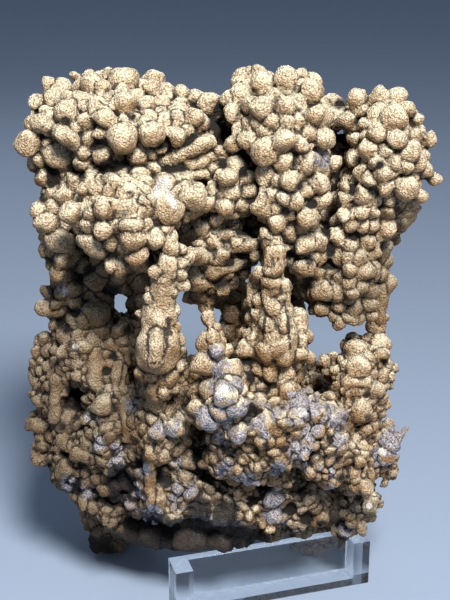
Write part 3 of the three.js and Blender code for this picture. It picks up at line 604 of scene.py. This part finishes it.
def filled(points, normals, centres, radii):
    """Nodules set at random where there is room between the others, the largest first."""
    tree = KDTree(len(points))
    for index, point in enumerate(points):
        tree.insert(point, index)
    tree.balance()
    closed = patches(points, normals, SHADED_GAPS, CLOSED_FEATHER)
    broken_and_shade = patches(points, normals, BROKEN_AND_SHADED, CLOSED_FEATHER, BROKEN_AND_SHADED_DEEP)
    room = np.where(np.maximum(closed, broken_and_shade) > CLOSED_FROM, 0.0, 1.0)

    def crowd(centre, radius):
        for _, index, distance in tree.find_range(centre, radius + MOST_RADIUS):
            room[index] = min(room[index], distance - radius)

    for centre, radius in zip(centres, radii):
        crowd(centre, radius * (HOLD_CROWN if centre[2] > BASE_TOP else HOLD_BASE))
    spots, sizes = [], []
    order, shares = spots_at_random(points)
    least, most = SIZE_SPREAD
    for radius, sink in PACKED:
        free = room > ROOM * radius
        if radius > BASE_MOST:
            free &= points[:, 2] > BASE_TOP
        if radius < CROWN_LEAST:
            free &= points[:, 2] < BASE_TOP
        for index, share in zip(order[free[order]], shares[free[order]]):
            if room[index] < ROOM * radius:
                continue
            size = radius * (least + (most - least) * share)
            spots.append(points[index] - normals[index] * size * sink)
            sizes.append(size)
            crowd(points[index], size)
    return np.array(spots), np.array(sizes), np.arange(len(sizes))


def clear_of_stand(centres, radii):
    """Which balls touch neither the floor nor the stand."""
    strips = [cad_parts[name].data for name in STAND]
    points, faces = joined(*((mesh_arrays(mesh)[0], triangles_of(mesh)) for mesh in strips))
    tree = BVHTree.FromPolygons(points.tolist(), faces.tolist())
    return np.array([
        centre[2] - radius > REST_GAP and tree.find_nearest(centre, radius + REST_GAP)[0] is None
        for centre, radius in zip(centres, radii)
    ])


def with_balls(core, studs, voxel, smoothing):
    """One skin over the core and the balls."""
    centres, radii, _ = studs
    mesh = remeshed(*joined(core, balls(centres, radii, 3)), voxel, smoothing)
    return mesh, (mesh_arrays(mesh)[0], triangles_of(mesh))


def together(*studs):
    """All the balls, each set with owners of its own."""
    centres, radii, owners, first = [], [], [], 0
    for set_centres, set_radii, set_owners in studs:
        centres.append(set_centres)
        radii.append(set_radii)
        owners.append(set_owners + first)
        first += set_owners.max() + 1
    return np.concatenate(centres), np.concatenate(radii), np.concatenate(owners)


def tree_of(core):
    points, faces = core
    return BVHTree.FromPolygons(points.tolist(), faces.tolist())


def grown(node):
    """The mineral's mesh, and the balls that it is studded with: middles, radii and owners."""
    core = rounded_core(node)
    trunks = ridge_balls(tree_of(core), TRUNKS)
    _, trunked = with_balls(core, trunks, CORE_VOXEL, 1)
    tree = tree_of(trunked)
    studs = together(trunks, front_nodules(tree), ridge_balls(tree, RIDGES))
    mesh, _ = with_balls(core, studs, CORE_VOXEL, 0)
    studs = together(studs, filled(*mesh_arrays(mesh), *studs[:2]))
    kept = clear_of_stand(*studs[:2])
    studs = tuple(values[kept] for values in studs)
    mesh, _ = with_balls(core, studs, FINAL_VOXEL, FINAL_SMOOTHING)
    return roughened(mesh), studs


def roughened(mesh):
    """The mesh with its surface made a little uneven, more so in the base."""
    points, normals = mesh_arrays(mesh)
    base = 1 + (BASE_ROUGHER - 1) * ramp(points[:, 2], BASE_TOP, BASE_SHARE * BASE_TOP)
    for size, depth in ROUGHNESS:
        out = np.array([noise.noise(Vector(point / size)) for point in points])
        points = points + normals * (depth * base * out)[:, None]
    mesh.vertices.foreach_set("co", points.ravel())
    mesh.update()
    return mesh


def hidden_from_view(mesh):
    """Which points the view from the front doesn't see."""
    points, normals = mesh_arrays(mesh)
    tree = BVHTree.FromPolygons(points.tolist(), triangles_of(mesh).tolist())
    starts = points + normals * RAY_START
    return np.array([
        tree.ray_cast(start, EYE - Vector(start), VIEW_DISTANCE)[0] is not None
        for start in starts.tolist()
    ])


def thinned(mesh):
    """Thins the whole mesh, and then once more what the view from the front doesn't see."""
    for budget, everywhere in ((FRONT_BUDGET, True), (FACE_BUDGET, False)):
        thing = bpy.data.objects.new("working", mesh)
        bpy.context.scene.collection.objects.link(thing)
        settings = {"ratio": min(1.0, budget / len(triangles_of(mesh)))}
        if not everywhere:
            group = thing.vertex_groups.new(name="hidden")
            group.add(np.flatnonzero(hidden_from_view(mesh)).tolist(), 1.0, "REPLACE")
            settings["vertex_group"] = group.name
        mesh = with_modifiers(thing, ("DECIMATE", settings))
    return mesh


def smoothed(points, edges, times):
    count = len(points)
    degree = np.bincount(edges.ravel(), minlength=count).clip(1)
    for _ in range(times):
        total = np.stack(
            [
                np.bincount(edges[:, 0], weights=points[edges[:, 1], axis], minlength=count)
                + np.bincount(edges[:, 1], weights=points[edges[:, 0], axis], minlength=count)
                for axis in range(3)
            ],
            axis=1,
        )
        points = 0.5 * points + 0.5 * total / degree[:, None]
    return points


def ramp(values, low, high):
    return np.clip((values - low) / (high - low), 0.0, 1.0)


def creases_of(mesh):
    """How deep each point lies below the surface smoothed over, from 0 to 1."""
    points, normals = mesh_arrays(mesh)
    edges = np.empty(len(mesh.edges) * 2, dtype=np.int32)
    mesh.edges.foreach_get("vertices", edges)
    smooth = smoothed(points, edges.reshape(-1, 2), CREASE_SMOOTHING)
    return ramp(((smooth - points) * normals).sum(1), *CREASE_DEPTHS)


def seams_of(mesh, studs):
    """1 on the seams between two nodules, falling to 0 over the seam's width."""
    centres, radii, owners = studs
    tree = KDTree(len(centres))
    for index, centre in enumerate(centres):
        tree.insert(centre, index)
    tree.balance()
    points, _ = mesh_arrays(mesh)
    near = np.array([
        [other for _, other, _ in tree.find_n(point, SEAM_NEIGHBOURS)] for point in points
    ])
    away = points[:, None, :] - centres[near]
    distance = np.linalg.norm(away, axis=2)
    gaps = distance - radii[near]
    ways = away / distance[:, :, None]
    every = np.arange(len(points))
    first = gaps.argmin(axis=1)
    turn = np.linalg.norm(ways - ways[every, first][:, None, :], axis=2)
    crossing = (owners[near] != owners[near[every, first]][:, None]) & (turn > SEAM_TURN)
    apart = (gaps - gaps[every, first][:, None]) / turn.clip(SEAM_TURN)
    return ramp(np.where(crossing, apart, 1.0).min(axis=1), SEAM_WIDTH, 0.0)


def hollows_of(mesh):
    """How shut in each point is: 0 in the open, 1 at the bottom of a hole."""
    points, normals = mesh_arrays(mesh)
    tree = BVHTree.FromPolygons(points.tolist(), triangles_of(mesh).tolist())
    turns = np.arange(HOLLOW_RAYS) + 0.5
    heights = 1 - 2 * turns / HOLLOW_RAYS
    angles = turns * math.pi * (3 - math.sqrt(5))
    flat = np.sqrt(1 - heights**2)
    rays = np.stack([flat * np.cos(angles), flat * np.sin(angles), heights], axis=1)
    facing = normals @ rays.T
    starts = points + normals * RAY_START
    directions = [Vector(ray) for ray in rays]
    shut = np.zeros(len(points))
    for index, start in enumerate(starts):
        start = Vector(start)
        for ray, weight in zip(directions, facing[index]):
            if weight > HOLLOW_LEAST and tree.ray_cast(start, ray, HOLLOW_REACH)[0] is not None:
                shut[index] += weight
    return shut / np.where(facing > HOLLOW_LEAST, facing, 0).sum(1).clip(1e-6)


def patches(points, normals, rows, feather, deep=PATCH_DEEP):
    """1 inside the patches that are seen from the front, falling to 0 over the feather, and no
    further than deep behind each patch's nearest point."""
    across, down, depth = seen_in_view(points)
    facing = ramp(-(normals @ np.array(FORWARD)), *FACING)
    best = np.zeros(len(points))
    for row_across, row_down, radius in rows:
        away = np.hypot(across - row_across, down - row_down) / radius
        inside = ramp(away, 1 + feather, 1 - feather)
        if not inside.any():
            continue
        nearest = depth[inside > 0].min()
        front = ramp(depth - nearest, deep, FADE_FROM * deep)
        best = np.maximum(best, inside * front * facing)
    return best


def furrow_dots():
    """Rows of small patches along the furrows."""
    dots = []
    for across_a, down_a, across_b, down_b, radius in FURROWS:
        steps = math.ceil(math.hypot(across_b - across_a, down_b - down_a) / radius)
        for share in np.linspace(0, 1, steps + 1).tolist():
            across = across_a + (across_b - across_a) * share
            down = down_a + (down_b - down_a) * share
            dots.append((across, down, radius))
    return dots


def warped(points):
    """The points, pushed a little to and fro."""
    size, reach = WARP
    share = WARP_CROWN + (1 - WARP_CROWN) * ramp(points[:, 2], *WARP_TO)
    share = share * ramp(points[:, 2], *WARP_FROM)
    pushes = np.array([noise.noise_vector(Vector(point / size)) for point in points])
    return points + pushes * (reach * share)[:, None]


def paint(mesh, name, values):
    layer = mesh.attributes.new(name, "FLOAT", "POINT")
    layer.data.foreach_set("value", values.astype(np.float32))


def painted(mesh, studs):
    """Cuts the seams a little and stores what the mineral's material goes by, painted light and
    shade among it.
    """
    points, normals = mesh_arrays(mesh)
    seams = seams_of(mesh, studs)
    points = warped(points - normals * (SEAM_CUT * seams)[:, None])
    points[:, 2] = points[:, 2].clip(FLOOR_GAP)
    mesh.vertices.foreach_set("co", points.ravel())
    mesh.update()
    points, normals = mesh_arrays(mesh)
    height = points[:, 2]
    # Painted shade along the seams.
    paint(mesh, "seam_shade", seams)
    # Painted shade in hollows and creases.
    paint(mesh, "hollow_shade", hollows_of(mesh))
    paint(mesh, "crease_shade", creases_of(mesh))
    for name, rows, feather, deep in PATCHES:
        paint(mesh, name, patches(points, normals, rows, feather, deep))
    # Painted shade along the furrows.
    paint(mesh, "furrow_shade", patches(points, normals, furrow_dots(), FURROW_FEATHER))
    paint(mesh, "warm", ramp(height, WARM_FROM, WARM_TO))
    paint(mesh, "grey", ramp(height, GREY_FROM, GREY_TO))
    paint(mesh, "upward", ramp(normals[:, 2], *UPWARD))
    # Painted shade at the foot and where the mineral lies in shadow.
    painted_shade = ramp(height, *FOOT_SHADE)
    for x, y, z, reach in SHADE_SPOTS:
        away = np.linalg.norm(points / MM - np.array((x, y, z)), axis=1) / reach
        painted_shade = np.maximum(painted_shade, ramp(away, *SHADE_EDGE))
    paint(mesh, "painted_shade", painted_shade)
    return mesh


class Shader:
    """A material's nodes, each made and wired in one call."""

    def __init__(self, name):
        self.material = bpy.data.materials.new(name)
        self.material.use_nodes = True
        self.tree = self.material.node_tree
        self.surface = self.tree.nodes["Principled BSDF"]

    def put(self, socket, value):
        if isinstance(value, bpy.types.NodeSocket):
            self.tree.links.new(value, socket)
        else:
            socket.default_value = value

    def add(self, kind, sockets, **settings):
        node = self.tree.nodes.new(kind)
        for key, value in settings.items():
            setattr(node, key, value)
        for key, value in sockets.items():
            self.put(node.inputs[key], value)
        return node

    def value(self, name):
        return self.add("ShaderNodeAttribute", {}, attribute_name=name).outputs["Fac"]

    def noise(self, where, size, detail=2.0):
        sockets = {"Vector": where, "Scale": 1 / size, "Detail": detail, "Roughness": 0.6}
        return self.add("ShaderNodeTexNoise", sockets).outputs["Fac"]

    def cells(self, where, size):
        sockets = {"Vector": where, "Scale": 1 / size}
        return self.add("ShaderNodeTexVoronoi", sockets).outputs["Distance"]

    def math(self, operation, a, b=0.0, c=0.0):
        return self.add(
            "ShaderNodeMath", {0: a, 1: b, 2: c}, operation=operation
        ).outputs[0]

    def spread(self, value, low, high):
        sockets = {"Value": value, "From Min": low, "From Max": high}
        return self.add("ShaderNodeMapRange", sockets).outputs["Result"]

    def mix(self, share, a, b, blend="MIX"):
        node = self.add(
            "ShaderNodeMix", {"Factor": share}, data_type="RGBA", blend_type=blend
        )
        self.put(node.inputs[6], a)
        self.put(node.inputs[7], b)
        return node.outputs[2]


def mineral_material():
    s = Shader("dusty_romanechite")
    where = s.add("ShaderNodeTexCoord", {}).outputs["Object"]
    broad = s.noise(where, 14 * MM, 3.0)
    medium = s.noise(where, 3.2 * MM, 3.0)
    fine = s.noise(where, 0.8 * MM, 3.0)
    grain = s.noise(where, 0.4 * MM, 2.0)
    granules = s.cells(where, 0.5 * MM)

    # The dusty tan coat: painted light from above pales what faces up, painted shade turns what
    # faces down ochre, and the coat is warmer lower down.
    lit = s.math("ADD", s.value("upward"), s.spread(medium, 1.1, -0.1))
    warm = s.math("ADD", s.value("warm"), s.spread(broad, 0.3, 0.7))
    coat = s.mix(s.spread(lit, 0.5, 1.5), TAN, TAN_LIT)
    coat = s.mix(s.spread(s.math("SUBTRACT", warm, lit), -0.2, 1.0), coat, OCHRE)
    greyed = s.math("MULTIPLY", s.value("grey"), s.spread(broad, 0.62, 0.38))
    greyed = s.math("MULTIPLY", greyed, s.spread(medium, 0.35, 0.6))
    coat = s.mix(greyed, coat, GREY_BROWN)
    # Painted shade where the mineral lies in shadow, and at the foot.
    coat = s.mix(s.math("MULTIPLY", s.value("painted_shade"), 0.68), coat, SHADED_COAT)
    pits = s.math("ADD", fine, grain)
    specks = s.math("ADD", s.math("MULTIPLY", granules, 0.9), s.spread(medium, -0.2, 1.2))
    specks = s.math("ADD", specks, s.math("MULTIPLY", grain, 0.7))
    coat = s.mix(s.math("MULTIPLY", s.spread(specks, 1.15, 1.6), 0.72), coat, PIT)

    # Painted shade in the hollows, the creases and the deep gaps.
    recess_shade = s.math("ADD", s.spread(s.value("hollow_shade"), 0.25, 0.95), s.spread(medium, 0.75, -0.35))
    recess_shade = s.math("ADD", recess_shade, s.math("MULTIPLY", s.value("crease_shade"), 0.35))
    # Painted shade in the deep gaps.
    recess_shade = s.math("ADD", recess_shade, s.math("MULTIPLY", s.value("gap_shade"), 0.8))
    coat = s.mix(s.spread(recess_shade, 0.45, 1.0), coat, SHADE_BLACK)
    # Dark lines of painted shade along the seams between nodules and along the furrows.
    line = s.math("MAXIMUM", s.value("seam_shade"), s.value("furrow_shade"))
    line = s.math("ADD", line, s.math("MULTIPLY", fine, 0.5))
    coat = s.mix(s.math("MULTIPLY", s.spread(line, 0.6, 1.05), 0.92), coat, SHADE_BLACK)

    # Bare mineral, with flecks of the coat left on it.
    bare = s.math("MULTIPLY", s.value("bare"), s.spread(medium, 0.36, 0.52))
    bare = s.math("ADD", bare, s.spread(fine, 1.35, -0.35))
    bare = s.math("MULTIPLY", s.spread(bare, 0.85, 1.1), s.spread(s.value("bare"), 0.02, 0.3))
    metal = s.mix(s.spread(pits, 0.8, 1.25), METAL, METAL_PALE)
    # Painted shade on the bare mineral as well.
    metal = s.mix(s.spread(recess_shade, 0.6, 1.1), metal, SHADE_BLACK)
    metal = s.mix(s.spread(line, 0.75, 1.1), metal, SHADE_BLACK)
    colour = s.mix(bare, coat, metal)
    # The broken foot painted nearly black: its own dark colour and painted shade under the base.
    broken_and_shade = s.spread(s.math("ADD", s.value("broken_and_shade"), s.spread(fine, 1.1, -0.1)), 0.7, 1.0)
    colour = s.mix(s.math("MULTIPLY", broken_and_shade, 0.93), colour, BROKEN_AND_SHADE_BLACK)
    # White crust, and painted highlights where the mineral glints.
    crust_and_glint = s.math("ADD", s.value("crust_and_glint"), s.math("MULTIPLY", fine, 0.6))
    crust_and_glint = s.spread(crust_and_glint, 0.85, 1.05)
    colour = s.mix(s.math("MULTIPLY", crust_and_glint, 0.85), colour, CRUST_AND_HIGHLIGHT)

    s.put(s.surface.inputs["Base Color"], colour)
    s.put(s.surface.inputs["Metallic"], s.math("MULTIPLY", bare, 0.15))
    rough = s.add("ShaderNodeMapRange", {"Value": bare, "To Min": 0.93, "To Max": 0.42})
    s.put(s.surface.inputs["Roughness"], rough.outputs["Result"])
    s.surface.inputs["Specular IOR Level"].default_value = 0.35

    relief = s.math("ADD", s.math("MULTIPLY", granules, -0.7), s.math("MULTIPLY", fine, 1.0))
    relief = s.math("ADD", relief, s.math("MULTIPLY", grain, 0.8))
    calm = s.add("ShaderNodeMapRange", {"Value": bare, "To Min": 1.0, "To Max": 0.5})
    bump = s.add(
        "ShaderNodeBump",
        {"Height": s.math("MULTIPLY", relief, calm.outputs["Result"]), "Distance": 0.6 * MM,
         "Strength": 1.0},
    )
    s.put(s.surface.inputs["Normal"], bump.outputs["Normal"])
    return s.material


def acrylic_material():
    s = Shader("clear_acrylic")
    for key, value in {
        "Base Color": (0.88, 0.915, 0.95, 1),
        "Roughness": 0.0,
        "IOR": 1.49,
        "Transmission Weight": 1.0,
    }.items():
        s.surface.inputs[key].default_value = value
    return s.material


def plain_material(name, colour, roughness):
    s = Shader(name)
    s.surface.inputs["Base Color"].default_value = colour
    s.surface.inputs["Roughness"].default_value = roughness
    return s.material


def make_mineral():
    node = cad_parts["romanechite"]
    mesh, studs = grown(node)
    mesh = painted(thinned(mesh), studs)
    mesh.materials.clear()
    mesh.materials.append(mineral_material())
    mesh.shade_smooth()
    mesh.name = "romanechite_growth"
    mineral = bpy.data.objects.new("romanechite_growth", mesh)
    bpy.context.scene.collection.objects.link(mineral)
    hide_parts("romanechite")
    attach(mineral, "root")


def dress_stand():
    acrylic = acrylic_material()
    for name in STAND:
        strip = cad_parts[name]
        strip.data.materials.clear()
        strip.data.materials.append(acrylic)
        edge = strip.modifiers.new("polished_edges", "BEVEL")
        edge.width = STAND_EDGE
        edge.segments = 2
        edge.limit_method = "ANGLE"
        strip.visible_shadow = False
        strip.visible_diffuse = False


def make_floor():
    half = FLOOR_HALF
    low = -FLOOR_DROP
    corners = [(-half, -half, low), (half, -half, low), (half, half, low), (-half, half, low)]
    floor = new_object("floor", corners, [(0, 1, 2, 3)])
    floor.data.materials.append(plain_material("pale_floor", FLOOR_COLOUR, 0.9))


def area_light(name, place, size, power, colour):
    light = bpy.data.lights.new(name, "AREA")
    light.shape = "DISK"
    light.size = size
    light.energy = power
    light.color = colour
    lamp = bpy.data.objects.new(name, light)
    lamp.location = place
    aim = Vector(LIT_POINT) - Vector(place)
    lamp.rotation_euler = aim.to_track_quat("-Z", "Y").to_euler()
    bpy.context.scene.collection.objects.link(lamp)


def light_studio():
    for light in LIGHTS:
        area_light(*light)
    world = bpy.data.worlds.new("studio")
    bpy.context.scene.world = world
    world.use_nodes = True
    background = world.node_tree.nodes["Background"]
    background.inputs["Color"].default_value = WORLD_COLOUR
    background.inputs["Strength"].default_value = WORLD_STRENGTH


def make_camera():
    lens = bpy.data.cameras.new("front")
    lens.sensor_width = SENSOR_MM
    lens.lens = SENSOR_MM * FOCAL / max(VIEW_SIZE)
    lens.clip_start = 0.01
    camera = bpy.data.objects.new("front", lens)
    camera.location = EYE
    camera.rotation_euler = (math.pi / 2 - VIEW_PITCH, 0, 0)
    bpy.context.scene.collection.objects.link(camera)
    bpy.context.scene.camera = camera


bpy.context.scene.view_settings.view_transform = "Standard"
make_mineral()
dress_stand()
make_floor()
light_studio()
make_camera()
